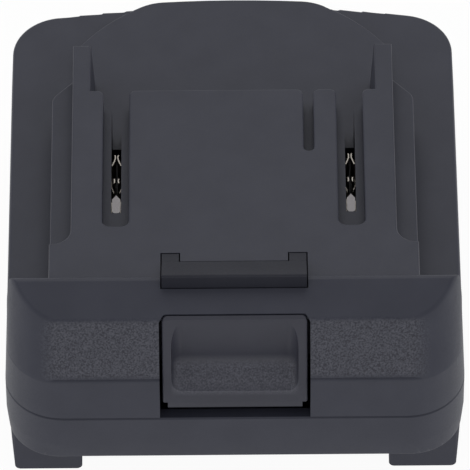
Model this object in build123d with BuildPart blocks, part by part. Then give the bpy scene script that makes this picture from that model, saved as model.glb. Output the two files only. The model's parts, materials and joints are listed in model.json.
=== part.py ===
from build123d import *

import math
import os

os.makedirs("parts", exist_ok=True)

# Tool battery adapter. Millimetres, +Z up, +Y from the button end to the rounded end.
# Distances named from_front are counted from the front face at the seam between the shells.

# Shells
body_width = 77.7
body_length = 89.3
back_bow = 4.0
front_corner_radius = 9.9
back_corner_radius = 9.4
wall = 2.2
side_draft = 3.0
rim_radius = 0.6
edge_radius = 0.35
seam_bevel = 0.25
foot_height = 9.9
lower_depth = 10.1
deck_rise = 9.0
overrun = 2.0
snug_clearance = 0.05
match = 0.01

# Raised back plate
dome_rise = 1.6
dome_radius = 32.6
dome_centre_from_back = 30.5
dome_corner_radius = 9.0

# Slide plateau, side rails and fingers
rail_side_margin = 7.75
plateau_margin = 7.55
plateau_rise = 12.0
plateau_skin = 2.4
plateau_back_from_front = 56.7
plateau_corner_radius = 1.15
rail_reach = 3.6
rail_thickness = 3.2
rail_groove_height = 4.4
rail_neck_inset = 0.5
rail_back_from_front = 59.3
rail_slant_from_front = 63.3
rail_corner_radius = 2.5
rail_end_from_front = 21.0
rail_end_radius = 3.2
finger_width = 3.05
finger_length = 10.8

# Hood over the front
hood_depth = 12.8
hood_rise = 13.5
hood_top_slope_share = 0.375
hood_foot_inset = 0.45
hood_side_inset = 0.05
hood_side_lean_share = 0.018
hood_front_lean_share = 0.365
hood_corner_growth_share = 0.14
hood_edge_radius = 1.1
hood_extra = 2.5

# Contact slots and key groove
slot_width = 4.45
slot_depth = 3.6
slot_front_from_front = 24.9
slot_end_radius = 1.4
ledge_bevel = 1.2
gap_width = 1.7
gap_front_from_front = 31.2
gap_floor_from_front = 52.5
ledge_thickness = 1.2
chamber_width = 5.6
chamber_wall = 1.2
trough_bottom_drop = 2.2
key_gap = 7.05
key_width = 1.7
key_depth = 3.2
key_rib_thickness = 1.4
key_rib_clip = 0.45
key_front_from_front = 42.2

# Hook and its hole
hook_half_width = 12.15
hook_clearance = 0.2
hook_back_clearance = 0.08
hook_face_from_front = 10.2
hook_ramp_length = 6.4
hook_rise = 3.5
hook_tab_length = 1.8
hook_tab_width = 2.9
hook_tab_thickness = 3.0
hook_head_thickness = 4.5
stem_thickness = 2.6
cross_bar_half_length = 15.4
cross_bar_rise = 3.0
cross_bar_height = 2.5
cross_bar_depth = 6.0
cross_bar_from_front = 10.5
guide_thickness = 2.0
guide_from_front = 9.5
guide_length = 8.0
stop_clearance = 0.1

# Button and its opening
button_half_width = 12.15
opening_clearance = 0.5
opening_top_from_front = 5.73
opening_corner_radius = 1.1
button_corner_radius = 1.0
button_bottom_rise = 3.9
button_back_from_front = 7.4
button_head_back_from_front = 5.45
button_step_drop = 1.5
button_step_clearance = 0.25
button_edge_radius = 0.4
button_skirt_height = 3.1
button_web_half_width = 5.0
button_web_height = 6.0
button_web_rise = 8.0
lip_half_width = 11.3
lip_from_front = 2.6
lip_thickness = 1.6
lip_drop = 4.1
skirt_drop = 1.3
skirt_recess = 0.1
skirt_thickness = 1.3
scoop_half_width = 10.65
scoop_top_rise = 10.0
scoop_top_from_front = 4.55
scoop_heel_from_front = 4.9
scoop_heel_rise = 0.2
scoop_lip_drop = 2.5
scoop_heel_radius = 2.6
scoop_side_radius = 1.9

# Springs and their seats
spring_spacing = 14.0
spring_from_front = 13.5
spring_outer_diameter = 4.8
spring_wire = 0.55
spring_turns = 6
spring_pin_diameter = 2.6
spring_pin_height = 2.2

# Lower shell and feet
lower_band_height = 6.2
lower_band_inset = 0.45
lower_corner_ease = 0.8
lower_edge_radius = 0.4
tongue_height = 1.0
tongue_thickness = 1.0
tongue_clearance = 0.1
tongue_notch_clearance = 0.5
foot_side_inset = 1.2
foot_width = 11.45
foot_outer_lean = 0.5
foot_front_radius = 0.6
foot_from_front = 6.5
foot_back_inset = 9.0
foot_flange_thickness = 4.5
foot_groove_depth = 4.2
foot_corner_radius = 1.0
stop_wall_thickness = 3.0
stop_wall_height = 5.2

# Case screws, from the feet into bosses under the deck
case_screw_side_inset = 4.85
case_screw_front_from_front = 17.0
case_screw_back_inset = 20.3
case_boss_diameter = 5.6
case_screw_shank = 2.5
case_screw_head = 4.4
case_screw_head_height = 1.8
case_screw_sink = 3.6
case_screw_drive = 1.6
case_screw_drive_depth = 0.9
screw_clearance = 0.15
case_screw_bite = 5.0

# Contact posts and leaves
post_thickness = 1.4
post_front_from_front = 31.6
post_back_from_front = 35.8
post_top_drop = 0.5
post_point = 1.0
post_front_radius = 0.6
post_tail_drop = 3.0
post_tail_from_front = 33.4
post_tail_length_along = 2.4
leaf_thickness = 0.2
leaf_top_clearance = 0.3
leaf_height = 6.0
leaf_spine_height = 2.2
leaf_waist_crest = 0.5
leaf_throat_crest = 1.25
leaf_swell = 0.85
leaf_pinch = 0.22
leaf_flare = 0.9
leaf_foot_from_front = 35.0
leaf_swell_from_front = 37.9
leaf_second_swell_from_front = 42.5
leaf_waist_from_front = 40.1
leaf_throat_from_front = 44.9
leaf_end_from_front = 47.2
rivet_diameter = 1.6
rivet_head_diameter = 2.6
rivet_head_height = 0.5
rivet_drop = 3.6
rivet_from_front = 33.3

# Contact holder
holder_thickness = 2.2
holder_margin = 4.25
holder_front_from_front = 29.2
holder_back_from_front = 53.6
holder_corner_radius = 2.0
holder_screw_half_spacing = 9.0
holder_screw_from_front = 40.0
holder_boss_diameter = 5.6
small_screw_shank = 2.0
small_screw_head = 3.8
small_screw_head_height = 1.5
small_screw_drive = 1.2
small_screw_drive_depth = 0.7
small_screw_bite = 5.0

# Battery terminal block and blades
block_half_width = 15.0
block_front_from_front = 52.0
block_back_from_front = 62.0
block_drop = 6.0
block_clearance = 0.15
block_top_rise = 3.9
block_ear_length = 5.5
block_ear_thickness = 2.0
block_ear_depth = 5.2
block_boss_diameter = 5.0
block_screw_half_spacing = 17.8
block_screw_bite = 3.4
blade_half_spacing = 10.0
blade_thickness = 0.8
blade_drop = 4.8
blade_height = 3.6
blade_reach = 8.5
blade_riser_from_front = 56.0
blade_riser_width = 3.0
blade_tail = 2.0
blade_tip_bevel = 0.8

# Catch plate for the battery's own latch
catch_front_from_front = 21.0
catch_back_from_front = 27.0
catch_half_width = 8.0
catch_plate_half_width = 13.2
catch_plate_margin = 2.6
catch_plate_thickness = 1.2
catch_pin_diameter = 2.4
catch_pin_half_spacing = 10.7
catch_pin_height = 1.8
catch_pin_clearance = 0.1

# Wires
wire_diameter = 2.4
wire_turn_from_front = 42.0
wire_join_from_front = 50.0
wire_drop_radius = 2.4
wire_bend_radius = 5.0

# Levels, from the foot up
floor_z = foot_height
floor_top_z = floor_z + wall
seam_z = foot_height + lower_depth
deck_z = seam_z + deck_rise
dome_z = deck_z + dome_rise
groove_top_z = deck_z + rail_groove_height
rail_top_z = groove_top_z + rail_thickness
plateau_z = deck_z + plateau_rise
ceiling_z = plateau_z - plateau_skin
hood_z = deck_z + hood_rise
hood_cap_z = hood_z + hood_extra
hook_z = plateau_z + hook_rise
ledge_z = plateau_z - slot_depth
chamber_z = ledge_z - ledge_thickness
trough_z = dome_z - trough_bottom_drop
holder_z = trough_z - holder_thickness
cross_bar_z = seam_z + cross_bar_rise
cross_bar_top_z = cross_bar_z + cross_bar_height
button_z = seam_z + button_bottom_rise
block_bottom = floor_z - block_drop
block_top_z = floor_top_z + block_top_rise
blade_bottom = floor_z - blade_drop

# Sizes that follow from the driving ones
draft_share = math.tan(math.radians(side_draft))
deck_inset = deck_rise * draft_share
rail_half = body_width / 2 - rail_side_margin
plateau_half = rail_half - rail_reach
slot_x = plateau_half - plateau_margin
neck_half = plateau_half - rail_neck_inset
key_x = slot_x - key_gap
holder_half_width = slot_x + holder_margin
dome_centre_from_front = body_length - dome_centre_from_back
foot_back_from_front = body_length - foot_back_inset
foot_outer_half_width = body_width / 2 - foot_side_inset
foot_inner_half_width = foot_outer_half_width - foot_width
case_screw_half_spacing = body_width / 2 - case_screw_side_inset
case_screw_back_from_front = body_length - case_screw_back_inset
hood_start = deck_inset + hood_foot_inset
hood_side_start = deck_inset + hood_side_inset
hook_hole_half = hook_half_width + hook_clearance
opening_half = button_half_width + opening_clearance
hollow_half = neck_half - wall
crease_rise = (
    hood_rise - hood_top_slope_share * (hood_depth - hood_start)
) / (1 - hood_top_slope_share * hood_front_lean_share)
crease_from_front = hood_start + crease_rise * hood_front_lean_share


def from_front(distance):
    return distance - body_length / 2


def both_sides(inner, outer):
    return (inner, outer), (-outer, -inner)


def area(low, high, mode=Mode.ADD):
    with Locations(((low[0] + high[0]) / 2, (low[1] + high[1]) / 2)):
        Rectangle(high[0] - low[0], high[1] - low[1], mode=mode)


def block(low, high, mode=Mode.ADD):
    with BuildSketch(Plane.XY.offset(low[2])) as footprint:
        area(low, high)
    extrude(footprint.sketch, amount=high[2] - low[2], mode=mode)


# The same block on the right and on the left of the middle
def twin_blocks(inner, outer, low_y, high_y, low_z, high_z, mode=Mode.ADD):
    for low_x, high_x in both_sides(inner, outer):
        block((low_x, low_y, low_z), (high_x, high_y, high_z), mode=mode)


# A closed outline of (Y, Z) points, drawn out between two X
def side_profile(points, low_x, high_x, mode=Mode.ADD):
    with BuildSketch(Plane.YZ.offset(low_x)) as profile:
        with BuildLine():
            Polyline(*points, close=True)
        make_face()
    extrude(profile.sketch, amount=high_x - low_x, mode=mode)


def post_at(places, diameter, low_z, high_z, mode=Mode.ADD):
    with BuildSketch(Plane.XY.offset(low_z)) as discs:
        with Locations(places):
            Circle(diameter / 2)
    extrude(discs.sketch, amount=high_z - low_z, mode=mode)


def level(edges, height):
    return edges.filter_by_position(Axis.Z, height - match, height + match)


# Plan outline of both shells, drawn in from the seam by an inset
def plan_outline(inset, corner_ease=0):
    half = body_width / 2 - inset
    front = from_front(inset)
    back = from_front(body_length - inset)
    shoulder = back - back_bow
    with BuildSketch() as outline:
        with BuildLine():
            Line((-half, front), (half, front))
            Line((half, front), (half, shoulder))
            ThreePointArc((half, shoulder), (0, back), (-half, shoulder))
            Line((-half, shoulder), (-half, front))
        make_face()
        fillet(outline.vertices().group_by(Axis.Y)[0], front_corner_radius - inset - corner_ease)
        fillet(outline.vertices().group_by(Axis.Y)[-1], back_corner_radius - inset - corner_ease)
    return outline.sketch


# Plan of the raised back plate: as wide as the plateau, rounded at the back
def dome_outline():
    with BuildSketch() as dome:
        with Locations((0, from_front(dome_centre_from_front))):
            Circle(dome_radius)
        area((-plateau_half, from_front(0)), (plateau_half, from_front(body_length)), mode=Mode.INTERSECT)
        area((-plateau_half, from_front(hood_depth)), (plateau_half, from_front(dome_centre_from_front)))
    return dome.sketch


# Plan of the hood at a height over the deck, drawn in by an inset: its corners are flush with the
# shell below and its front is cut back flat between them
def hood_outline(rise, inset):
    half = body_width / 2 - hood_side_start - rise * hood_side_lean_share - inset
    lean = rise * hood_front_lean_share + inset
    radius = front_corner_radius - hood_side_start + rise * hood_corner_growth_share - inset
    back = from_front(hood_depth) + front_corner_radius * 2
    with BuildSketch() as outline:
        area((-half, from_front(hood_side_start + lean)), (half, back))
        fillet(outline.vertices().group_by(Axis.Y)[0], radius)
        area((-half, from_front(0)), (half, from_front(hood_start + lean)), mode=Mode.SUBTRACT)
    return outline.sketch


# The hood above the deck: leaning faces, a sloping top and an upright back
def hood_block(inset):
    ridge = hood_z - inset
    low_y = from_front(-overrun)
    high_y = from_front(hood_depth) + front_corner_radius * 2
    back_y = from_front(hood_depth - inset)
    cap_z = hood_cap_z + front_corner_radius * 2
    low_end = ridge - hood_top_slope_share * (back_y - low_y)
    high_end = ridge + hood_top_slope_share * (high_y - back_y)
    with BuildPart() as hood:
        with BuildSketch(Plane.XY.offset(deck_z)) as foot:
            add(hood_outline(0, inset))
        with BuildSketch(Plane.XY.offset(hood_cap_z)) as head:
            add(hood_outline(hood_cap_z - deck_z, inset))
        loft([foot.sketch, head.sketch], ruled=True)
        over_top = [(low_y, low_end), (high_y, high_end), (high_y, cap_z), (low_y, cap_z)]
        side_profile(over_top, -body_width, body_width, mode=Mode.SUBTRACT)
        block((-body_width, back_y, deck_z), (body_width, high_y, cap_z), mode=Mode.SUBTRACT)
    return hood.part


# A plan mirrored about the middle from its right half, one kind of corner rounded
def slide_plan(points, corner, radius):
    with BuildSketch() as outline:
        with BuildLine():
            Polyline(*points, close=True)
        make_face()
        mirror(about=Plane.YZ)
        near = outline.vertices().filter_by_position(Axis.Y, corner[1] - match, corner[1] + match)
        fillet([spot for spot in near if abs(abs(spot.X) - corner[0]) < match], radius)
    return outline.sketch


# A groove open to the back of the plateau, its mouth flared and its front end rounded
def groove_plan(x, width, front, end_radius, mouth_radius):
    spread = width / 2 + mouth_radius + edge_radius
    with BuildSketch() as groove:
        area((x - width / 2, front), (x + width / 2, plateau_back))
        area((x - spread, plateau_back), (x + spread, plateau_back + overrun))
        fillet(groove.vertices().group_by(Axis.Y)[0], end_radius)
        mouth = groove.vertices().filter_by_position(Axis.Y, plateau_back - match, plateau_back + match)
        fillet([spot for spot in mouth if abs(spot.X - x) < width / 2 + match], mouth_radius)
    return groove.sketch


# Screw pointing up from its seat, or down when up is -1
def screws(places, seat_z, up, sizes):
    shank, length, head, head_height, drive, drive_depth = sizes
    for span, diameter in ((up * length, shank), (-up * head_height, head)):
        post_at(places, diameter, min(seat_z, seat_z + span), max(seat_z, seat_z + span))
    top_z = seat_z - up * head_height
    with BuildSketch(Plane.XY.offset(min(top_z, top_z + up * drive_depth))) as socket:
        with Locations(places):
            RegularPolygon(drive / 2, 6, major_radius=False)
    extrude(socket.sketch, amount=drive_depth, mode=Mode.SUBTRACT)


# Levels across the plateau's depth
hood_back = from_front(hood_depth)
plateau_back = from_front(plateau_back_from_front)
hollow_back = from_front(plateau_back_from_front - wall)
rail_end = from_front(rail_end_from_front)
hook_face = from_front(hook_face_from_front)
hook_back = hook_face + hook_ramp_length
gap_front = from_front(gap_front_from_front)
gap_floor = from_front(gap_floor_from_front)
finger_half = plateau_half - finger_width
case_screw_places = [
    (side * case_screw_half_spacing, from_front(distance))
    for side in (-1, 1)
    for distance in (case_screw_front_from_front, case_screw_back_from_front)
]
holder_screw_y = from_front(holder_screw_from_front)
holder_screw_places = [(side * holder_screw_half_spacing, holder_screw_y) for side in (-1, 1)]
block_middle = from_front((block_front_from_front + block_back_from_front) / 2)
block_screw_places = [(side * block_screw_half_spacing, block_middle) for side in (-1, 1)]
spring_places = [(side * spring_spacing / 2, from_front(spring_from_front)) for side in (-1, 1)]
catch_middle = from_front((catch_front_from_front + catch_back_from_front) / 2)
catch_pin_places = [(side * catch_pin_half_spacing, catch_middle) for side in (-1, 1)]

# Space inside the hood, open downwards into the shell
with BuildPart() as hood_hollow:
    with BuildSketch(Plane.XY.offset(deck_z - wall)):
        add(hood_outline(0, wall))
        back_inside = from_front(hood_depth - wall)
        area((-body_width, back_inside), (body_width, from_front(body_length)), mode=Mode.SUBTRACT)
    extrude(amount=wall)
    add(hood_block(wall))

# Foot of the hood inside the deck's rounded rim
with BuildPart() as hood_root:
    with BuildSketch(Plane.XY.offset(deck_z - wall)):
        add(plan_outline((deck_rise - wall) * draft_share + hood_side_inset))
        area(
            (-body_width, from_front(0)),
            (body_width, from_front((deck_rise - wall) * draft_share + hood_foot_inset)),
            mode=Mode.SUBTRACT,
        )
    extrude(amount=wall, taper=side_draft)
    block(
        (-body_width, hood_back, deck_z - wall), (body_width, from_front(body_length + overrun), deck_z),
        mode=Mode.SUBTRACT,
    )

with BuildPart() as upper_housing:
    with BuildSketch(Plane.XY.offset(seam_z)):
        add(plan_outline(0))
    extrude(amount=deck_rise, taper=side_draft)
    chamfer(level(upper_housing.edges(), seam_z), seam_bevel)
    fillet(level(upper_housing.edges(), deck_z), rim_radius)
    add(hood_root.part)
    add(hood_block(0))
    hood_top = upper_housing.faces().sort_by(Axis.Z)[-1]
    fillet(hood_top.edges(), hood_edge_radius)

    # Raised back plate, flush with the back wall
    with BuildSketch(Plane.XY.offset(deck_z - wall)) as dome_plate:
        add(plan_outline((deck_rise + dome_rise) * draft_share))
        add(dome_outline(), mode=Mode.INTERSECT)
        fillet(dome_plate.vertices().sort_by(Axis.Y)[-2:], dome_corner_radius)
    extrude(amount=wall + dome_rise)
    fillet(level(upper_housing.edges(), dome_z), edge_radius)

    # Slide plateau: neck, rails, full front block and the two fingers
    start = from_front(hood_depth - wall)
    front_half = [(0, start), (rail_half, start), (rail_half, rail_end)]
    with BuildSketch(Plane.XY.offset(deck_z)):
        neck = front_half + [(neck_half, rail_end), (neck_half, plateau_back), (0, plateau_back)]
        add(slide_plan(neck, (neck_half, rail_end), rail_end_radius))
    extrude(amount=rail_groove_height)
    with BuildSketch(Plane.XY.offset(groove_top_z)):
        rail_back = from_front(rail_back_from_front)
        slant_end = from_front(rail_slant_from_front)
        rail = [(0, start), (rail_half, start), (rail_half, rail_back), (plateau_half, slant_end)]
        rail += [(finger_half, slant_end), (finger_half, plateau_back), (0, plateau_back)]
        add(slide_plan(rail, (rail_half, rail_back), rail_corner_radius))
    extrude(amount=rail_thickness)
    rail_rim = level(upper_housing.edges(), rail_top_z).filter_by(
        lambda edge: abs(edge.center().X) > plateau_half - match and edge.center().Y > hood_back
    )
    fillet(rail_rim, edge_radius)
    with BuildSketch(Plane.XY.offset(rail_top_z)):
        plateau = front_half + [(plateau_half, rail_end), (plateau_half, plateau_back), (0, plateau_back)]
        add(slide_plan(plateau, (plateau_half, rail_end), rail_end_radius))
    extrude(amount=plateau_z - rail_top_z)
    finger_tip = plateau_back + finger_length
    finger_lean = (plateau_z - deck_z) * draft_share
    for side in (-1, 1):
        with BuildSketch(Plane.XY.offset(deck_z)) as finger_foot:
            inner_x = side * (finger_half - finger_lean)
            outer_x = side * plateau_half
            low_x, high_x = sorted((inner_x, outer_x))
            area((low_x, plateau_back - wall), (high_x, finger_tip + finger_lean))
        with BuildSketch(Plane.XY.offset(plateau_z)) as finger_head:
            inner_x = side * finger_half
            low_x, high_x = sorted((inner_x, outer_x))
            area((low_x, plateau_back - wall), (high_x, finger_tip))
        loft([finger_foot.sketch, finger_head.sketch], ruled=True)

    # Hollows of the shell, the plateau, its front block and the hood
    with BuildSketch(Plane.XY.offset(seam_z)) as shell_hollow:
        add(plan_outline(wall))
    extrude(shell_hollow.sketch, amount=deck_rise - wall, taper=side_draft, mode=Mode.SUBTRACT)
    hollow_front = from_front(guide_from_front)
    core_half = rail_half - wall
    skin_z = deck_z - wall
    block((-hollow_half, hollow_front, skin_z), (hollow_half, hollow_back, ceiling_z), mode=Mode.SUBTRACT)
    block((-core_half, hood_back, skin_z), (core_half, rail_end - wall, ceiling_z), mode=Mode.SUBTRACT)
    add(hood_hollow.part, mode=Mode.SUBTRACT)

    # Contact troughs, key rib, screw bosses and the latch guides under the ceiling
    trough_half = chamber_width / 2 + chamber_wall
    trough_front = from_front(slot_front_from_front - chamber_wall)
    twin_blocks(slot_x - trough_half, slot_x + trough_half, trough_front, hollow_back, trough_z, ceiling_z)
    key_front = from_front(key_front_from_front)
    key_rib_half = key_width / 2 + key_rib_thickness - key_rib_clip
    key_rib_z = plateau_z - key_depth - key_rib_thickness
    block(
        (key_x - key_rib_half, key_front - key_rib_thickness, key_rib_z),
        (key_x + key_rib_half, hollow_back, ceiling_z),
    )
    post_at(holder_screw_places, holder_boss_diameter, trough_z, ceiling_z)
    post_at(case_screw_places, case_boss_diameter, seam_z, deck_z - wall)
    twin_blocks(
        hook_hole_half, hook_hole_half + guide_thickness, hollow_front, hollow_front + guide_length,
        cross_bar_top_z + stop_clearance, ceiling_z,
    )

    # Contact slots with their ledges, gaps and chambers, and one blind key groove on the right
    for side in (-1, 1):
        x = side * slot_x
        slot_front = from_front(slot_front_from_front)
        with BuildSketch(Plane.XY.offset(ledge_z)) as slot:
            add(groove_plan(x, slot_width, slot_front, slot_end_radius, plateau_corner_radius))
        extrude(slot.sketch, amount=slot_depth, mode=Mode.SUBTRACT)
        mouth_half = gap_width / 2 + ledge_bevel
        with BuildSketch(Plane.XY.offset(dome_z)) as gap:
            area((x - gap_width / 2, gap_front), (x + gap_width / 2, plateau_back))
            area((x - mouth_half, plateau_back), (x + mouth_half, plateau_back + overrun))
            corners = gap.vertices().filter_by_position(Axis.Y, plateau_back - match, plateau_back + match)
            chamfer([spot for spot in corners if abs(spot.X - x) < gap_width / 2 + match], ledge_bevel)
        extrude(gap.sketch, amount=ledge_z - dome_z, mode=Mode.SUBTRACT)
        chamber_low = (x - chamber_width / 2, gap_front, trough_z)
        block(chamber_low, (x + chamber_width / 2, gap_floor, chamber_z), mode=Mode.SUBTRACT)
    with BuildSketch(Plane.XY.offset(plateau_z - key_depth)) as key:
        add(groove_plan(key_x, key_width, key_front, key_width / 2 - match, plateau_corner_radius))
    extrude(key.sketch, amount=key_depth, mode=Mode.SUBTRACT)

    # Softened edges of the plateau
    plateau_edges = level(upper_housing.edges(), plateau_z)
    fillet(plateau_edges.filter_by(lambda edge: edge.center().Y > hood_back + match), edge_radius)

    # Hook hole through the hood's back and the plateau, the button opening in the hood's front
    hole_top = hood_cap_z + overrun
    hole_z = ceiling_z - match
    block(
        (-hook_hole_half, hook_face - hook_clearance, hole_z),
        (hook_hole_half, hook_back + hook_back_clearance, hole_top),
        mode=Mode.SUBTRACT,
    )
    tab_inner = hook_half_width - hook_tab_width - hook_clearance
    tab_back = hook_back + hook_tab_length + hook_clearance
    twin_blocks(tab_inner, hook_hole_half, hook_back, tab_back, hole_z, hole_top, mode=Mode.SUBTRACT)
    opening_top_z = hood_z - hood_top_slope_share * (hood_depth - opening_top_from_front)
    with BuildSketch(Plane.XZ.offset(-from_front(opening_top_from_front))) as opening:
        area((-opening_half, seam_z - overrun), (opening_half, opening_top_z))
        fillet(opening.vertices().group_by(Axis.Y)[-1], opening_corner_radius)
    extrude(opening.sketch, amount=opening_top_from_front + overrun, mode=Mode.SUBTRACT)
    block(
        (-opening_half, from_front(-overrun), seam_z - overrun),
        (opening_half, hollow_front, opening_top_z - button_step_drop),
        mode=Mode.SUBTRACT,
    )

    # Pilot holes
    pilot_depth = case_screw_bite + screw_clearance
    post_at(case_screw_places, case_screw_shank + match, seam_z, seam_z + pilot_depth, mode=Mode.SUBTRACT)
    small_pilot_depth = small_screw_bite + screw_clearance
    small_pilot = small_screw_shank + match
    post_at(holder_screw_places, small_pilot, trough_z, trough_z + small_pilot_depth, mode=Mode.SUBTRACT)

# The two feet, L-shaped in section, and the stop wall between them
foot_root_z = floor_z + lower_edge_radius
groove_x = foot_inner_half_width + foot_groove_depth
with BuildPart() as feet:
    for side in (-1, 1):
        with BuildSketch(Plane.XZ.offset(-from_front(foot_back_from_front))) as foot:
            with BuildLine():
                Polyline(
                    (side * foot_inner_half_width, 0),
                    (side * foot_outer_half_width, 0),
                    (side * (foot_outer_half_width + foot_outer_lean), floor_z),
                    (side * (foot_outer_half_width + foot_outer_lean), foot_root_z),
                    (side * groove_x, foot_root_z),
                    (side * groove_x, foot_flange_thickness),
                    (side * foot_inner_half_width, foot_flange_thickness),
                    close=True,
                )
            make_face()
            fillet(foot.vertices().group_by(Axis.Y)[0], foot_corner_radius)
        extrude(foot.sketch, amount=foot_back_from_front - foot_from_front)
    with BuildSketch() as foot_plan:
        add(plan_outline(lower_band_inset + lower_edge_radius / 2, lower_corner_ease))
        area((-body_width, 0), (body_width, from_front(foot_back_from_front)), mode=Mode.INTERSECT)
        foot_side = foot_outer_half_width + foot_outer_lean
        area((-foot_side, from_front(foot_from_front)), (foot_side, 0))
        fillet(foot_plan.vertices().group_by(Axis.Y)[0], foot_front_radius)
    extrude(foot_plan.sketch, amount=foot_root_z, mode=Mode.INTERSECT)
    block(
        (-groove_x, from_front(foot_back_from_front - stop_wall_thickness), floor_z - stop_wall_height),
        (groove_x, from_front(foot_back_from_front), foot_root_z),
    )

with BuildPart() as lower_housing:
    band_z = seam_z - lower_band_height
    with BuildSketch(Plane.XY.offset(floor_z)) as band_foot:
        add(plan_outline(lower_band_inset, lower_corner_ease))
    with BuildSketch(Plane.XY.offset(band_z)) as band_head:
        add(plan_outline(0))
    loft([band_foot.sketch, band_head.sketch], ruled=True)
    fillet(level(lower_housing.edges(), floor_z), lower_edge_radius)
    extrude(band_head.sketch, amount=lower_band_height)
    chamfer(level(lower_housing.edges(), seam_z), seam_bevel)
    with BuildSketch(Plane.XY.offset(floor_top_z)) as tray:
        add(plan_outline(wall))
    extrude(tray.sketch, amount=seam_z - floor_top_z, mode=Mode.SUBTRACT)
    add(feet.part)

    # Tongue round the inside of the seam, notched at the screw bosses and the button
    tongue_inset = wall + tongue_clearance
    tongue_root_z = seam_z - overrun
    lip_back = from_front(lip_from_front + lip_thickness)
    with BuildSketch(Plane.XY.offset(tongue_root_z)) as tongue_root:
        add(plan_outline(wall - tongue_clearance))
        add(plan_outline(tongue_inset + tongue_thickness), mode=Mode.SUBTRACT)
    extrude(tongue_root.sketch, amount=overrun)
    with BuildSketch(Plane.XY.offset(seam_z)) as tongue:
        add(plan_outline(tongue_inset))
        add(plan_outline(tongue_inset + tongue_thickness), mode=Mode.SUBTRACT)
    extrude(tongue.sketch, amount=tongue_height)
    notch_diameter = case_boss_diameter + tongue_notch_clearance * 2
    post_at(case_screw_places, notch_diameter, seam_z, seam_z + tongue_height, mode=Mode.SUBTRACT)
    block(
        (-opening_half, from_front(wall), tongue_root_z),
        (opening_half, lip_back + opening_clearance, seam_z + tongue_height),
        mode=Mode.SUBTRACT,
    )

    # Seats: screw bosses, spring pins, catch plate pins and terminal block bosses
    post_at(case_screw_places, case_boss_diameter, floor_top_z, seam_z)
    post_at(spring_places, spring_pin_diameter, floor_top_z, floor_top_z + spring_pin_height)
    post_at(catch_pin_places, catch_pin_diameter, floor_top_z, floor_top_z + catch_pin_height)
    post_at(block_screw_places, block_boss_diameter, floor_top_z, block_top_z - block_ear_thickness)

    # Openings: sunk screw holes, catch window and the terminal block's way through the floor
    case_hole = case_screw_shank + screw_clearance * 2
    case_sink = case_screw_head + screw_clearance * 2
    post_at(case_screw_places, case_hole, case_screw_sink, seam_z, mode=Mode.SUBTRACT)
    post_at(case_screw_places, case_sink, -overrun, case_screw_sink, mode=Mode.SUBTRACT)
    block(
        (-catch_half_width, from_front(catch_front_from_front), floor_z - overrun),
        (catch_half_width, from_front(catch_back_from_front), floor_top_z),
        mode=Mode.SUBTRACT,
    )
    block_hole_half = block_half_width + block_clearance
    block(
        (-block_hole_half, from_front(block_front_from_front - block_clearance), floor_z - overrun),
        (block_hole_half, from_front(block_back_from_front + block_clearance), floor_top_z),
        mode=Mode.SUBTRACT,
    )
    block_pilot_z = block_top_z - block_ear_thickness - block_screw_bite - screw_clearance
    post_at(block_screw_places, small_screw_shank + match, block_pilot_z, block_top_z, mode=Mode.SUBTRACT)

# Hollow for the thumb: a leaning back wall, a round heel and a ledge that runs out through the face
with BuildPart() as thumb_scoop:
    scoop_outer = from_front(-overrun)
    scoop_top_z = deck_z + scoop_top_rise
    heel_z = deck_z + scoop_heel_rise
    lip_z = deck_z - scoop_lip_drop
    lip_y = (deck_rise - scoop_lip_drop) * draft_share
    ledge_slope = (heel_z - lip_z) / (scoop_heel_from_front - lip_y)
    ledge_z_out = lip_z - ledge_slope * (lip_y + overrun)
    with BuildSketch(Plane.YZ.offset(-scoop_half_width)) as scoop:
        with BuildLine():
            Polyline(
                (scoop_outer, scoop_top_z),
                (from_front(scoop_top_from_front), scoop_top_z),
                (from_front(scoop_heel_from_front), heel_z),
                (scoop_outer, ledge_z_out),
                close=True,
            )
        make_face()
        fillet(scoop.vertices().sort_by(Axis.X)[-1], scoop_heel_radius)
    extrude(scoop.sketch, amount=scoop_half_width * 2)
    rims = thumb_scoop.edges().filter_by(
        lambda edge: abs(abs(edge.center().X) - scoop_half_width) < match
    )
    rims = rims.filter_by(lambda edge: edge.center().Y > scoop_outer + match)
    fillet(rims.filter_by(lambda edge: edge.center().Z < scoop_top_z - match), scoop_side_radius)

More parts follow.
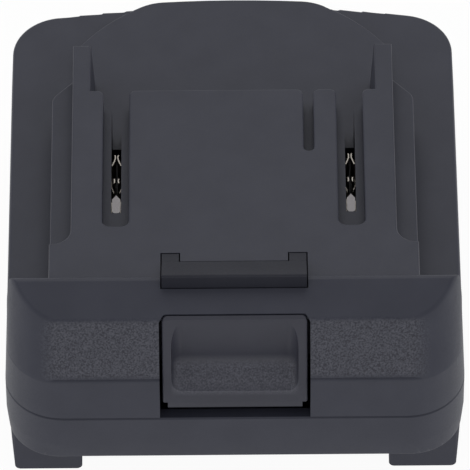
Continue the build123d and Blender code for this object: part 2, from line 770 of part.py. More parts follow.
with BuildPart() as release_button:
    head_back = from_front(button_head_back_from_front)
    head_back_z = hood_z - hood_top_slope_share * (hood_depth - button_head_back_from_front)
    step_z = opening_top_z - button_step_drop - button_step_clearance
    skirt_z = button_z + button_skirt_height
    button_bend_z = deck_z - (hood_start - deck_inset) / hood_front_lean_share
    button_back = from_front(button_back_from_front)
    face_foot = from_front(button_bottom_rise * draft_share)
    face = [(face_foot, button_z), (from_front(deck_inset), button_bend_z)]
    face += [(from_front(crease_from_front), deck_z + crease_rise), (head_back, head_back_z)]
    inside = [(head_back, step_z), (button_back, step_z), (button_back, skirt_z), (lip_back, skirt_z)]
    side_profile(face + inside + [(lip_back, button_z)], -button_half_width, button_half_width)
    with BuildSketch(Plane.XZ.offset(-button_back)) as front_view:
        area((-button_half_width, button_z), (button_half_width, head_back_z))
        fillet(front_view.vertices().group_by(Axis.Y)[-1], button_corner_radius)
    extrude(front_view.sketch, amount=button_back_from_front + overrun, mode=Mode.INTERSECT)
    outer = release_button.edges().filter_by(
        lambda edge: abs(abs(edge.center().X) - button_half_width) < match
    )
    outer = outer.filter_by(lambda edge: edge.center().Y < from_front(crease_from_front))
    fillet(outer.filter_by(lambda edge: edge.center().Z > button_z + match), button_edge_radius)
    add(thumb_scoop.part, mode=Mode.SUBTRACT)
    lip_front = from_front(lip_from_front)
    block((-lip_half_width, lip_front, button_z - lip_drop), (lip_half_width, lip_back, button_z))
    skirt_front = button_bottom_rise * draft_share + skirt_recess
    block(
        (-lip_half_width, from_front(skirt_front), button_z - skirt_drop),
        (lip_half_width, from_front(skirt_front + skirt_thickness), button_z + skirt_drop),
    )
    web_z = seam_z + button_web_rise
    stem_front = from_front(cross_bar_from_front)
    block(
        (-button_web_half_width, button_back, web_z),
        (button_web_half_width, stem_front, web_z + button_web_height),
    )

with BuildPart() as latch_hook:
    stem_back = stem_front + stem_thickness
    head_z = plateau_z - hook_head_thickness
    tab_z = plateau_z - hook_tab_thickness
    head = [(hook_face, hook_z), (hook_back, plateau_z), (hook_back, tab_z), (stem_back, head_z)]
    head.append((hook_face, head_z))
    side_profile(head, -hook_half_width, hook_half_width)
    ridge = latch_hook.edges().filter_by(Axis.X).sort_by(Axis.Z)[-1]
    fillet(ridge, edge_radius)
    tab_low_y = hook_back
    tab_high_y = hook_back + hook_tab_length
    twin_blocks(hook_half_width - hook_tab_width, hook_half_width, tab_low_y, tab_high_y, tab_z, plateau_z)
    block((-hook_half_width, stem_front, cross_bar_top_z), (hook_half_width, stem_back, head_z + wall))
    block(
        (-cross_bar_half_length, stem_front, cross_bar_z),
        (cross_bar_half_length, stem_front + cross_bar_depth, cross_bar_top_z),
    )
    post_at(spring_places, spring_pin_diameter, cross_bar_z - spring_pin_height, cross_bar_z)


# One coil spring: quarter turns of a rising circle, each drawn as two arcs
def coil_spring(place):
    coil_radius = (spring_outer_diameter - spring_wire) / 2
    low_z = floor_top_z + spring_wire / 2
    rise = (cross_bar_z - floor_top_z - spring_wire) / spring_turns
    quarters = spring_turns * 4

    def at(step):
        angle = step * math.pi / 2
        centre = Vector(place[0], place[1], low_z + rise * step / 4)
        out = Vector(math.cos(angle), math.sin(angle), 0) * coil_radius
        along = Vector(-math.sin(angle), math.cos(angle), 0) * coil_radius * math.pi * 2
        return centre + out, (along + Vector(0, 0, rise)).normalized()

    with BuildPart() as spring:
        with BuildLine() as coil:
            for step in range(quarters):
                first, first_way = at(step)
                last, last_way = at(step + 1)
                way_sum = first_way + last_way
                chord = last - first
                bend = (1 - first_way.dot(last_way)) * 2
                along_chord = chord.dot(way_sum)
                reach = (math.sqrt(along_chord**2 + bend * chord.dot(chord)) - along_chord) / bend
                joint = (first + last + (first_way - last_way) * reach) / 2
                joint_way = (last - last_way * reach) - (first + first_way * reach)
                TangentArc(first, joint, tangent=first_way)
                TangentArc(joint, last, tangent=joint_way.normalized())
        start_point, start_way = at(0)
        with BuildSketch(Plane(origin=start_point, z_dir=start_way)):
            Circle(spring_wire / 2)
        sweep(path=coil.line)
    lean = math.hypot(1, rise / (coil_radius * math.pi * 2))
    print("spring gap between coils", rise / lean - spring_wire)
    return spring.part


with BuildPart() as latch_spring_left:
    add(coil_spring(spring_places[0]))
with BuildPart() as latch_spring_right:
    add(coil_spring(spring_places[1]))

# Plate that carries the contact posts, screwed up against the troughs
tail_y = from_front(post_tail_from_front)
with BuildPart() as contact_holder:
    with BuildSketch(Plane.XY.offset(holder_z)) as plate:
        area(
            (-holder_half_width, from_front(holder_front_from_front)),
            (holder_half_width, from_front(holder_back_from_front)),
        )
        fillet(plate.vertices(), holder_corner_radius)
    extrude(amount=holder_thickness)
    tail_hole = post_tail_length_along / 2 + snug_clearance
    post_hole = post_thickness / 2 + snug_clearance
    twin_blocks(
        slot_x - post_hole, slot_x + post_hole, tail_y - tail_hole, tail_y + tail_hole, holder_z, trough_z,
        mode=Mode.SUBTRACT,
    )
    holder_hole = small_screw_shank + screw_clearance * 2
    post_at(holder_screw_places, holder_hole, holder_z, trough_z, mode=Mode.SUBTRACT)


# A round pin along X through the contact stack
def cross_pin(low_x, high_x, diameter, mode=Mode.ADD):
    with BuildSketch(Plane.YZ.offset(low_x)) as disc:
        with Locations((from_front(rivet_from_front), ledge_z - rivet_drop)):
            Circle(diameter / 2)
    extrude(disc.sketch, amount=high_x - low_x, mode=mode)


rivet_hole = rivet_diameter + snug_clearance * 2
stack_half = post_thickness / 2 + leaf_thickness


# Upright contact post with a pointed back and a tail through the plate
def contact_post(x):
    half = post_thickness / 2
    front = from_front(post_front_from_front)
    back = from_front(post_back_from_front)
    tail_half = post_tail_length_along / 2
    with BuildPart() as post:
        with BuildSketch(Plane.XY.offset(trough_z)) as upright:
            with BuildLine():
                Polyline(
                    (x - half, front), (x + half, front), (x + half, back - post_point), (x, back),
                    (x - half, back - post_point), close=True,
                )
            make_face()
            fillet(upright.vertices().group_by(Axis.Y)[0], post_front_radius)
        extrude(amount=ledge_z - post_top_drop - trough_z)
        tail_z = holder_z - post_tail_drop
        block((x - half, tail_y - tail_half, tail_z), (x + half, tail_y + tail_half, trough_z))
        cross_pin(x - half, x + half, rivet_hole, mode=Mode.SUBTRACT)
    return post.part


# Sprung leaf: flat on the post, swelling out, then pinching in twice and flaring at its end.
# It stands at full height on the post and where it pinches in, and is a low spine between.
def contact_leaf(x, way):
    flat = post_thickness / 2
    stations = [
        (leaf_foot_from_front, flat),
        (leaf_swell_from_front, leaf_swell),
        (leaf_waist_from_front, leaf_pinch),
        (leaf_second_swell_from_front, leaf_swell),
        (leaf_throat_from_front, leaf_pinch),
        (leaf_end_from_front, leaf_flare),
    ]
    middles = [(offset + leaf_thickness / 2, distance) for distance, offset in stations]
    points = [(x + way * middle, from_front(distance)) for middle, distance in middles]
    leaf_z = chamber_z - leaf_top_clearance - leaf_height
    with BuildPart() as leaf:
        with BuildSketch(Plane.XY.offset(leaf_z)) as strip:
            with BuildLine() as run:
                Line((points[0][0], from_front(post_front_from_front + leaf_top_clearance)), points[0])
                Spline(*points, tangents=[(0, 1), (way, 1)])
            trace(run.line, leaf_thickness)
        extrude(strip.sketch, amount=leaf_height)
        low_half = chamber_width / 2
        spine_z = leaf_z + leaf_spine_height
        top_z = leaf_z + leaf_height + overrun
        dips = [
            (leaf_foot_from_front, leaf_waist_from_front - leaf_waist_crest),
            (leaf_waist_from_front + leaf_waist_crest, leaf_throat_from_front - leaf_throat_crest),
            (leaf_throat_from_front + leaf_throat_crest, leaf_end_from_front + overrun),
        ]
        for low, high in dips:
            low_corner = (x - low_half, from_front(low), spine_z)
            block(low_corner, (x + low_half, from_front(high), top_z), mode=Mode.SUBTRACT)
        low_x, high_x = sorted((x + way * flat, x + way * stack_half))
        cross_pin(low_x, high_x, rivet_hole, mode=Mode.SUBTRACT)
    return leaf.part


with BuildPart() as positive_contact_post:
    add(contact_post(slot_x))
with BuildPart() as negative_contact_post:
    add(contact_post(-slot_x))
with BuildPart() as positive_inner_leaf:
    add(contact_leaf(slot_x, -1))
with BuildPart() as positive_outer_leaf:
    add(contact_leaf(slot_x, 1))
with BuildPart() as negative_inner_leaf:
    add(contact_leaf(-slot_x, 1))
with BuildPart() as negative_outer_leaf:
    add(contact_leaf(-slot_x, -1))

with BuildPart() as contact_rivets:
    for x in (-slot_x, slot_x):
        cross_pin(x - stack_half, x + stack_half, rivet_diameter)
        cross_pin(x - stack_half - rivet_head_height, x - stack_half, rivet_head_diameter)
        cross_pin(x + stack_half, x + stack_half + rivet_head_height, rivet_head_diameter)

# Terminal block through the floor, with an L-shaped slot for each blade
blade_tip = from_front(block_front_from_front - blade_reach)
blade_back = from_front(blade_riser_from_front + blade_riser_width)
blade_top_z = blade_bottom + blade_height
riser_y = from_front(blade_riser_from_front)
with BuildPart() as terminal_block:
    block_front = from_front(block_front_from_front)
    block_back = from_front(block_back_from_front)
    block((-block_half_width, block_front, block_bottom), (block_half_width, block_back, block_top_z))
    ear_half = block_half_width + block_ear_length
    ear_low_y = block_middle - block_ear_depth / 2
    ear_z = block_top_z - block_ear_thickness
    block((-ear_half, ear_low_y, ear_z), (ear_half, block_middle + block_ear_depth / 2, block_top_z))
    blade_hole = blade_thickness / 2 + snug_clearance
    slot_low = blade_half_spacing - blade_hole
    slot_high = blade_half_spacing + blade_hole
    slot_end = blade_back + snug_clearance
    low_z = blade_bottom - snug_clearance
    high_z = blade_top_z + snug_clearance
    riser_hole_y = riser_y - snug_clearance
    twin_blocks(slot_low, slot_high, block_front, slot_end, low_z, high_z, mode=Mode.SUBTRACT)
    twin_blocks(slot_low, slot_high, riser_hole_y, slot_end, blade_bottom, block_top_z, mode=Mode.SUBTRACT)
    post_at(block_screw_places, holder_hole, ear_z, block_top_z, mode=Mode.SUBTRACT)


# Flat blade with a riser up through the block
def battery_blade(x):
    riser_top_z = block_top_z + blade_tail
    with BuildPart() as blade:
        with BuildSketch(Plane.YZ.offset(x - blade_thickness / 2)) as profile:
            with BuildLine():
                Polyline(
                    (blade_tip, blade_bottom), (blade_back, blade_bottom), (blade_back, riser_top_z),
                    (riser_y, riser_top_z), (riser_y, blade_top_z), (blade_tip, blade_top_z), close=True,
                )
            make_face()
            chamfer(profile.vertices().group_by(Axis.X)[0], blade_tip_bevel)
        extrude(profile.sketch, amount=blade_thickness)
    return blade.part


with BuildPart() as positive_blade:
    add(battery_blade(blade_half_spacing))
with BuildPart() as negative_blade:
    add(battery_blade(-blade_half_spacing))

# Steel frame round the catch window
with BuildPart() as catch_plate:
    catch_front = from_front(catch_front_from_front)
    catch_back = from_front(catch_back_from_front)
    with BuildSketch(Plane.XY.offset(floor_top_z)) as frame:
        area(
            (-catch_plate_half_width, catch_front - catch_plate_margin),
            (catch_plate_half_width, catch_back + catch_plate_margin),
        )
        fillet(frame.vertices(), plateau_corner_radius)
        area((-catch_half_width, catch_front), (catch_half_width, catch_back), mode=Mode.SUBTRACT)
    extrude(amount=catch_plate_thickness)
    catch_hole = catch_pin_diameter + catch_pin_clearance * 2
    catch_top_z = floor_top_z + catch_plate_thickness
    post_at(catch_pin_places, catch_hole, floor_top_z, catch_top_z, mode=Mode.SUBTRACT)


# Lead from a post's tail down, back and in to a blade's riser
def lead(side):
    wire_z = block_top_z + wire_diameter / 2 + snug_clearance
    x = side * slot_x
    inner_x = side * blade_half_spacing
    top = Vector(x, tail_y, holder_z - post_tail_drop)
    with BuildPart() as wire:
        with BuildLine() as run:
            FilletPolyline(
                top,
                (x, tail_y, wire_z),
                (x, from_front(wire_turn_from_front), wire_z),
                (inner_x, from_front(wire_join_from_front), wire_z),
                (inner_x, riser_y, wire_z),
                radius=(wire_drop_radius, wire_bend_radius, wire_bend_radius),
            )
        with BuildSketch(Plane(origin=top, z_dir=(0, 0, -1))):
            Circle(wire_diameter / 2)
        sweep(path=run.line)
    return wire.part


with BuildPart() as positive_wire:
    add(lead(1))
with BuildPart() as negative_wire:
    add(lead(-1))

# Screws
case_length = seam_z + case_screw_bite - case_screw_sink
small = (small_screw_head, small_screw_head_height, small_screw_drive, small_screw_drive_depth)
with BuildPart() as case_screws:
    case = (case_screw_shank, case_length, case_screw_head, case_screw_head_height)
    screws(case_screw_places, case_screw_sink, 1, case + (case_screw_drive, case_screw_drive_depth))
with BuildPart() as contact_holder_screws:
    holder_length = holder_thickness + small_screw_bite
    screws(holder_screw_places, holder_z, 1, (small_screw_shank, holder_length) + small)
with BuildPart() as terminal_block_screws:
    block_length = block_ear_thickness + block_screw_bite
    screws(block_screw_places, block_top_z, -1, (small_screw_shank, block_length) + small)

upper_housing.part.label = "upper_housing"
export_step(upper_housing.part, "parts/upper_housing.step")
lower_housing.part.label = "lower_housing"
export_step(lower_housing.part, "parts/lower_housing.step")
release_button.part.label = "release_button"
export_step(release_button.part, "parts/release_button.step")
latch_hook.part.label = "latch_hook"
export_step(latch_hook.part, "parts/latch_hook.step")
latch_spring_left.part.label = "latch_spring_left"
export_step(latch_spring_left.part, "parts/latch_spring_left.step")
latch_spring_right.part.label = "latch_spring_right"
export_step(latch_spring_right.part, "parts/latch_spring_right.step")
contact_holder.part.label = "contact_holder"
export_step(contact_holder.part, "parts/contact_holder.step")
contact_holder_screws.part.label = "contact_holder_screws"
export_step(contact_holder_screws.part, "parts/contact_holder_screws.step")
positive_contact_post.part.label = "positive_contact_post"
export_step(positive_contact_post.part, "parts/positive_contact_post.step")
negative_contact_post.part.label = "negative_contact_post"
export_step(negative_contact_post.part, "parts/negative_contact_post.step")
positive_inner_leaf.part.label = "positive_inner_leaf"
export_step(positive_inner_leaf.part, "parts/positive_inner_leaf.step")
positive_outer_leaf.part.label = "positive_outer_leaf"
export_step(positive_outer_leaf.part, "parts/positive_outer_leaf.step")
negative_inner_leaf.part.label = "negative_inner_leaf"
export_step(negative_inner_leaf.part, "parts/negative_inner_leaf.step")
negative_outer_leaf.part.label = "negative_outer_leaf"
export_step(negative_outer_leaf.part, "parts/negative_outer_leaf.step")
contact_rivets.part.label = "contact_rivets"
export_step(contact_rivets.part, "parts/contact_rivets.step")
positive_wire.part.label = "positive_wire"
export_step(positive_wire.part, "parts/positive_wire.step")
negative_wire.part.label = "negative_wire"
export_step(negative_wire.part, "parts/negative_wire.step")
terminal_block.part.label = "terminal_block"
export_step(terminal_block.part, "parts/terminal_block.step")
terminal_block_screws.part.label = "terminal_block_screws"
export_step(terminal_block_screws.part, "parts/terminal_block_screws.step")
positive_blade.part.label = "positive_blade"
export_step(positive_blade.part, "parts/positive_blade.step")
negative_blade.part.label = "negative_blade"
export_step(negative_blade.part, "parts/negative_blade.step")
catch_plate.part.label = "catch_plate"
export_step(catch_plate.part, "parts/catch_plate.step")
case_screws.part.label = "case_screws"
export_step(case_screws.part, "parts/case_screws.step")
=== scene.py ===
import bpy
import bmesh
import json
import math
from mathutils import Matrix, Vector


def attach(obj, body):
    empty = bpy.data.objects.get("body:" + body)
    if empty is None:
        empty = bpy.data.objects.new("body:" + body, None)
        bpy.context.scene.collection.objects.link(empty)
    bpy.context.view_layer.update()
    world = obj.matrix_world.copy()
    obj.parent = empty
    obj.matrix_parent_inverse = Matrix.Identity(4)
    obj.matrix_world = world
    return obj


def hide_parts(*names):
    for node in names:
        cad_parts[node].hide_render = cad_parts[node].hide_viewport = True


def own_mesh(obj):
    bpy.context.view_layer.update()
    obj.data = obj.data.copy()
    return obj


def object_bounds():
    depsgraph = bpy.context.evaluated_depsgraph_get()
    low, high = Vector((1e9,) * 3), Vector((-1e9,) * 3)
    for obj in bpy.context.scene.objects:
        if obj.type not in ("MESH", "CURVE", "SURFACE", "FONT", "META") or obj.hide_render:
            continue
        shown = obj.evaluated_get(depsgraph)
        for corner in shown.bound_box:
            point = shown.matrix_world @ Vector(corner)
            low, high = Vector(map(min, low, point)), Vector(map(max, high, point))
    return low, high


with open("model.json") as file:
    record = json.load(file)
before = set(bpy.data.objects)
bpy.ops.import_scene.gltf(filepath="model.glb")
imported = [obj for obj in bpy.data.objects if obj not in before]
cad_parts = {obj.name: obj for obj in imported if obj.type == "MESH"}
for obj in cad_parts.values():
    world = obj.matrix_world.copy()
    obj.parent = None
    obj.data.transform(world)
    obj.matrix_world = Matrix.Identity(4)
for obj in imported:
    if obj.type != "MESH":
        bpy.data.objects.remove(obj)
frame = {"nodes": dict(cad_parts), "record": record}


def corners():
    low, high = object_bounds()
    return [list(low), list(high)]


loadedBox = corners()
print("frame loaded", loadedBox)

mm = 0.001
frontY = loadedBox[0][1]
deckZ = 29.0 * mm  # top of the low deck behind the plateau


# Node helpers: every material is built from these few steps
def newMaterial(name):
    material = bpy.data.materials.new(name)
    material.use_nodes = True
    tree = material.node_tree
    tree.nodes.clear()
    output = tree.nodes.new("ShaderNodeOutputMaterial")
    shader = tree.nodes.new("ShaderNodeBsdfPrincipled")
    tree.links.new(shader.outputs[0], output.inputs[0])
    coords = tree.nodes.new("ShaderNodeTexCoord")
    return material, tree, shader, coords.outputs["Object"]


def noise(tree, coords, scale, detail=2.0, rough=0.5):
    node = tree.nodes.new("ShaderNodeTexNoise")
    node.inputs["Scale"].default_value = scale
    node.inputs["Detail"].default_value = detail
    node.inputs["Roughness"].default_value = rough
    tree.links.new(coords, node.inputs["Vector"])
    return node.outputs[0]


def remap(tree, value, fromLow, fromHigh, toLow, toHigh):
    node = tree.nodes.new("ShaderNodeMapRange")
    for index, setting in enumerate((fromLow, fromHigh, toLow, toHigh), 1):
        node.inputs[index].default_value = setting
    tree.links.new(value, node.inputs[0])
    return node.outputs[0]


def math2(tree, operation, first, second):
    node = tree.nodes.new("ShaderNodeMath")
    node.operation = operation
    for index, value in enumerate((first, second)):
        if isinstance(value, (int, float)):
            node.inputs[index].default_value = value
        else:
            tree.links.new(value, node.inputs[index])
    return node.outputs[0]


def bumpInto(tree, shader, height, strength, distance):
    node = tree.nodes.new("ShaderNodeBump")
    node.inputs["Distance"].default_value = distance
    node.inputs["Strength"].default_value = strength
    tree.links.new(height, node.inputs["Height"])
    tree.links.new(node.outputs[0], shader.inputs["Normal"])


# Each of the two colours is a fixed one or another node's output
def mixColours(tree, share, first, second):
    node = tree.nodes.new("ShaderNodeMix")
    node.data_type = "RGBA"
    tree.links.new(share, node.inputs[0])
    for socket, colour in zip((node.inputs[6], node.inputs[7]), (first, second)):
        if isinstance(colour, tuple):
            socket.default_value = colour + (1,)
        else:
            tree.links.new(colour, socket)
    return node.outputs[2]


# Soft mask that is one inside a range of one coordinate
def between(tree, value, low, high, soft):
    up = remap(tree, value, low - soft, low + soft, 0.0, 1.0)
    down = remap(tree, value, high - soft, high + soft, 1.0, 0.0)
    return math2(tree, "MULTIPLY", up, down)


# Moulded plastic: faint mottling and an even satin sheen
plasticDict = {
    "fineScale": 2600.0, "mottleScale": 160.0, "roughnessSpread": 0.04, "sheen": 0.3,
    "fineHeight": 0.25, "bumpStrength": 0.6, "bumpDepth": 0.05 * mm,
}
grainDict = {"scale": 3300.0, "low": 0.32, "high": 0.68, "height": 1.6}


# One inside the grain's box, with a soft border
def grainMask(tree, coords, grain):
    split = tree.nodes.new("ShaderNodeSeparateXYZ")
    tree.links.new(coords, split.inputs[0])
    sides = zip(split.outputs, grain["low"], grain["high"], grain["softs"])
    alongX, alongY, alongZ = [between(tree, *side) for side in sides]
    return math2(tree, "MULTIPLY", math2(tree, "MULTIPLY", alongX, alongY), alongZ)


def plastic(name, dark, light, roughness, grain=None, sheen=plasticDict["sheen"]):
    material, tree, shader, coords = newMaterial(name)
    shader.inputs["Specular IOR Level"].default_value = sheen
    fine = noise(tree, coords, plasticDict["fineScale"], 2.0, 0.6)
    mottle = noise(tree, coords, plasticDict["mottleScale"], 3.0)
    colour = mixColours(tree, remap(tree, mottle, 0.35, 0.65, 0.0, 1.0), dark, light)
    spread = plasticDict["roughnessSpread"]
    rough = remap(tree, fine, 0.3, 0.7, roughness - spread, roughness + spread)
    tree.links.new(rough, shader.inputs["Roughness"])
    height = math2(tree, "MULTIPLY", fine, plasticDict["fineHeight"])
    if grain:
        mask = grainMask(tree, coords, grain)
        sparks = noise(tree, coords, grainDict["scale"], 1.0, 0.5)
        share = remap(tree, sparks, grainDict["low"], grainDict["high"], 0.0, 1.0)
        speckles = mixColours(tree, share, grain["dark"], grain["light"])
        colour = mixColours(tree, mask, colour, speckles)
        pits = math2(tree, "MULTIPLY", math2(tree, "MULTIPLY", sparks, mask), grainDict["height"])
        height = math2(tree, "ADD", height, pits)
    tree.links.new(colour, shader.inputs["Base Color"])
    bumpInto(tree, shader, height, plasticDict["bumpStrength"], plasticDict["bumpDepth"])
    return material


# Drawn or rolled metal: streaks along the directions whose stretch is small
metalDict = {
    "streakScale": 1800.0, "smoother": 0.06, "rougher": 0.08, "bumpStrength": 0.15, "bumpDepth": 0.02 * mm,
}


def metal(name, dark, light, roughness, stretch=(1, 1, 1)):
    material, tree, shader, coords = newMaterial(name)
    mapping = tree.nodes.new("ShaderNodeMapping")
    mapping.inputs["Scale"].default_value = stretch
    tree.links.new(coords, mapping.inputs["Vector"])
    streak = noise(tree, mapping.outputs[0], metalDict["streakScale"], 3.0)
    tree.links.new(mixColours(tree, streak, dark, light), shader.inputs["Base Color"])
    shader.inputs["Metallic"].default_value = 1.0
    lowRough, highRough = roughness - metalDict["smoother"], roughness + metalDict["rougher"]
    tree.links.new(remap(tree, streak, 0.3, 0.7, lowRough, highRough), shader.inputs["Roughness"])
    bumpInto(tree, shader, streak, metalDict["bumpStrength"], metalDict["bumpDepth"])
    return material


# Coarse spark-eroded grain on the hood's front face and on the ledge of the button's scoop
hoodGrain = {
    "low": (-31.5 * mm, frontY - 1.0 * mm, deckZ + 0.3 * mm),
    "high": (31.5 * mm, frontY + 5.2 * mm, deckZ + 10.3 * mm),
    "softs": (1.6 * mm, 0.5 * mm, 0.5 * mm),
    "dark": (0.017, 0.018, 0.028),
    "light": (0.067, 0.069, 0.088),
}
scoopGrain = {
    "low": (-10.2 * mm, frontY - 1.0 * mm, deckZ - 2.6 * mm),
    "high": (10.2 * mm, frontY + 4.5 * mm, deckZ + 0.9 * mm),
    "softs": (0.6 * mm, 0.5 * mm, 1.0 * mm),
    "dark": (0.046, 0.047, 0.061),
    "light": (0.098, 0.100, 0.124),
}

# One dark and one light tone for each finish; the hook's pair is darkened with painted shade
tones = {
    "shell": ((0.0270, 0.0290, 0.0430), (0.0310, 0.0330, 0.0480)),
    "button": ((0.0280, 0.0290, 0.0410), (0.0310, 0.0320, 0.0450)),
    # Painted shade: the hook's tones are darker than the shell's, so its front face looks shaded
    "hook": ((0.0160, 0.0170, 0.0250), (0.0185, 0.0195, 0.0280)),
    "inner": ((0.0045, 0.0045, 0.0050), (0.0060, 0.0060, 0.0065)),
    "red": ((0.360, 0.012, 0.012), (0.420, 0.018, 0.016)),
    "black": ((0.012, 0.012, 0.012), (0.016, 0.016, 0.016)),
    "post": ((0.140, 0.134, 0.137), (0.195, 0.186, 0.190)),
    "leaf": ((0.24, 0.22, 0.20), (0.32, 0.30, 0.27)),
    "rivet": ((0.55, 0.45, 0.26), (0.65, 0.53, 0.32)),
    "blade": ((0.58, 0.54, 0.45), (0.70, 0.65, 0.55)),
    "spring": ((0.42, 0.42, 0.43), (0.55, 0.55, 0.56)),
    "plate": ((0.36, 0.36, 0.37), (0.46, 0.46, 0.47)),
    "screw": ((0.10, 0.10, 0.11), (0.15, 0.15, 0.16)),
}
looks = {
    "shell_plastic": plastic("shellPlastic", *tones["shell"], 0.5, hoodGrain),
    "button_plastic": plastic("buttonPlastic", *tones["button"], 0.48, scoopGrain),
    # The hook's material carries painted shade in its darker tones
    "hook_plastic": plastic("hookPlasticDarkenedForShade", *tones["hook"], 0.56, sheen=0.22),
    "holder_plastic": plastic("holderPlastic", *tones["inner"], 0.5),
    "block_plastic": plastic("blockPlastic", *tones["inner"], 0.45),
    "positive_sleeve": plastic("positiveSleeve", *tones["red"], 0.42),
    "negative_sleeve": plastic("negativeSleeve", *tones["black"], 0.42),
    "post_brass": metal("postPlate", *tones["post"], 0.36, (1, 1, 0.2)),
    "leaf_bronze": metal("leafBronze", *tones["leaf"], 0.34, (0.3, 1, 1)),
    "rivet_brass": metal("rivetBrass", *tones["rivet"], 0.35),
    "blade_brass": metal("bladePlate", *tones["blade"], 0.28, (1, 0.15, 1)),
    "spring_steel": metal("springSteel", *tones["spring"], 0.28),
    "plate_steel": metal("plateSteel", *tones["plate"], 0.38, (0.15, 1, 1)),
    "screw_steel": metal("screwSteel", *tones["screw"], 0.4),
}
print("materials made", len(looks))

slotOf = {piece["node"]: piece["material_slot"] for piece in frame["record"]["subparts"]}
bodyOf = {node: body for body, nodes in frame["record"]["behaviour"]["bodies"].items() for node in nodes}
copyDict = {"mergeDistance": 0.002 * mm, "flatAngle": 0.6, "edgeAngle": 32, "bevelSteps": 2}


# A merged copy of a CAD node with its flat faces joined, its sharp edges eased and smooth shading
def easedCopy(node, name, easing):
    source = frame["nodes"][node]
    mesh = source.data.copy()
    mesh.name = name
    built = bmesh.new()
    built.from_mesh(mesh)
    bmesh.ops.remove_doubles(built, verts=built.verts, dist=copyDict["mergeDistance"])
    flat = math.radians(copyDict["flatAngle"])
    bmesh.ops.dissolve_limit(
        built, angle_limit=flat, verts=built.verts, edges=built.edges, use_dissolve_boundaries=False
    )
    for face in built.faces:
        face.smooth = True
    built.to_mesh(mesh)
    built.free()
    mesh.materials.clear()
    mesh.materials.append(looks[slotOf[node]])
    piece = bpy.data.objects.new(name, mesh)
    bpy.context.scene.collection.objects.link(piece)
    piece.matrix_world = source.matrix_world.copy()
    if easing:
        bevel = piece.modifiers.new("easing", "BEVEL")
        bevel.width = easing
        bevel.segments = copyDict["bevelSteps"]
        bevel.limit_method = "ANGLE"
        bevel.angle_limit = math.radians(copyDict["edgeAngle"])
        bevel.use_clamp_overlap = True
        bevel.harden_normals = False
    weighted = piece.modifiers.new("weighting", "WEIGHTED_NORMAL")
    weighted.keep_sharp = True
    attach(piece, bodyOf[node])
    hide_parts(node)
    return piece


for node, thing in frame["nodes"].items():
    thing.data.materials.clear()
    thing.data.materials.append(looks[slotOf[node]])

# Name of each copy and how far its edges are eased
eased = {
    "upper_housing": ("upperHousing", 0.2 * mm),
    "lower_housing": ("lowerHousing", 0.12 * mm),
    "release_button": ("releaseButton", 0.12 * mm),
    "latch_hook": ("latchHook", 0.12 * mm),
    "latch_spring_left": ("latchSpringLeft", 0),
    "latch_spring_right": ("latchSpringRight", 0),
}
pieces = {node: easedCopy(node, *facts) for node, facts in eased.items()}
print("eased copies", len(pieces))

# Each spring copy gets a mesh of its own
for node in ("latch_spring_left", "latch_spring_right"):
    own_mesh(pieces[node])

# Stage: pale floor, white surroundings, soft light from above
stageDict = {
    "floorSize": 3.0, "floorDrop": 0.02 * mm, "floorTone": (0.9, 0.9, 0.9, 1), "floorRoughness": 0.9,
    "whiteShare": 0.95, "worldStrength": 0.57,
}
half = stageDict["floorSize"] / 2
floorZ = -stageDict["floorDrop"]
floorCorners = [(-half, -half, floorZ), (half, -half, floorZ), (half, half, floorZ), (-half, half, floorZ)]
floorMesh = bpy.data.meshes.new("floor")
floorMesh.from_pydata(floorCorners, [], [(0, 1, 2, 3)])
floor = bpy.data.objects.new("floor", floorMesh)
bpy.context.scene.collection.objects.link(floor)
floorLook, floorTree, floorShader = newMaterial("floorWhite")[:3]
floorShader.inputs["Base Color"].default_value = stageDict["floorTone"]
floorShader.inputs["Roughness"].default_value = stageDict["floorRoughness"]

# Seen directly or mirrored, the floor is white paper that keeps a faint shadow
paper = floorTree.nodes.new("ShaderNodeEmission")
paper.inputs["Color"].default_value = (1, 1, 1, 1)
paper.inputs["Strength"].default_value = 1.0
lightPath = floorTree.nodes.new("ShaderNodeLightPath")
seen = math2(floorTree, "MAXIMUM", lightPath.outputs["Is Camera Ray"], lightPath.outputs["Is Glossy Ray"])
seen = math2(floorTree, "MAXIMUM", seen, lightPath.outputs["Is Transmission Ray"])
whitened = floorTree.nodes.new("ShaderNodeMixShader")
floorTree.links.new(math2(floorTree, "MULTIPLY", seen, stageDict["whiteShare"]), whitened.inputs[0])
floorTree.links.new(floorShader.outputs[0], whitened.inputs[1])
floorTree.links.new(paper.outputs[0], whitened.inputs[2])
# From below the floor is clear, so that the underside can be seen
clear = floorTree.nodes.new("ShaderNodeBsdfTransparent")
sides = floorTree.nodes.new("ShaderNodeNewGeometry")
oneSided = floorTree.nodes.new("ShaderNodeMixShader")
floorTree.links.new(sides.outputs["Backfacing"], oneSided.inputs[0])
floorTree.links.new(whitened.outputs[0], oneSided.inputs[1])
floorTree.links.new(clear.outputs[0], oneSided.inputs[2])
floorTree.links.new(oneSided.outputs[0], floorTree.nodes["Material Output"].inputs[0])
floorMesh.materials.append(floorLook)

world = bpy.data.worlds.new("surroundings")
bpy.context.scene.world = world
world.use_nodes = True
worldTree = world.node_tree
worldTree.nodes.clear()
worldOut = worldTree.nodes.new("ShaderNodeOutputWorld")
glow = worldTree.nodes.new("ShaderNodeBackground")
glow.inputs["Color"].default_value = (1, 1, 1, 1)
worldPath = worldTree.nodes.new("ShaderNodeLightPath")
litStrength = stageDict["worldStrength"]
strength = remap(worldTree, worldPath.outputs["Is Camera Ray"], 0, 1, litStrength, 1)
worldTree.links.new(strength, glow.inputs["Strength"])
worldTree.links.new(glow.outputs[0], worldOut.inputs[0])


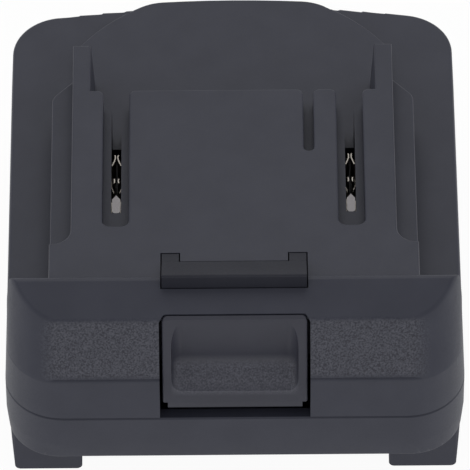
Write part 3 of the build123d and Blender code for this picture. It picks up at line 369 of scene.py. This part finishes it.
# Place, aim, size and power of each lamp
lampDict = {
    "keyLight": ((0, 0.5, 1.0), (0, 0, 0.02), (0.7, 0.5), 2.6),
    "frontLight": ((0, -1.3, 0.22), (0, 0, 0.02), (1.4, 0.3), 3.2),
    "backLight": ((0, 1.1, 0.28), (0, 0, 0.03), (1.6, 0.5), 1.2),
    "leftLight": ((-1.0, 0.1, 0.25), (0, 0, 0.03), (1.0, 0.45), 2.6),
    "rightLight": ((1.0, 0.1, 0.25), (0, 0, 0.03), (1.0, 0.45), 2.6),
}
for name, (place, aim, size, power) in lampDict.items():
    light = bpy.data.lights.new(name, "AREA")
    light.shape = "RECTANGLE"
    light.size, light.size_y = size
    light.energy = power
    lamp = bpy.data.objects.new(name, light)
    bpy.context.scene.collection.objects.link(lamp)
    lamp.location = place
    lamp.rotation_euler = (Vector(aim) - Vector(place)).to_track_quat("-Z", "Y").to_euler()
print("stage made")

# Camera in front, looking along +Y and down
cameraDict = {
    "target": (0, -0.65 * mm, 23.0 * mm), "distance": 1.18108, "elevation": 47.0, "roll": -0.45,
    "lens": 525.0, "sensor": 36.0, "frameWidth": 470, "shiftRight": 1.31, "shiftUp": -20.1,
}
cameraData = bpy.data.cameras.new("camera")
cameraData.lens = cameraDict["lens"]
cameraData.sensor_width = cameraDict["sensor"]
cameraData.shift_x = cameraDict["shiftRight"] / cameraDict["frameWidth"]
cameraData.shift_y = cameraDict["shiftUp"] / cameraDict["frameWidth"]
cameraData.clip_start = 0.05
cameraData.clip_end = 20.0
camera = bpy.data.objects.new("camera", cameraData)
bpy.context.scene.collection.objects.link(camera)
rise = math.radians(cameraDict["elevation"])
target = Vector(cameraDict["target"])
away = Vector((0, -math.cos(rise), math.sin(rise))) * cameraDict["distance"]
turn = (-away).to_track_quat("-Z", "Y").to_matrix().to_4x4()
roll = Matrix.Rotation(math.radians(cameraDict["roll"]), 4, "Z")
camera.matrix_world = Matrix.Translation(target + away) @ turn @ roll
scene = bpy.context.scene
scene.camera = camera
scene.view_settings.view_transform = "Standard"
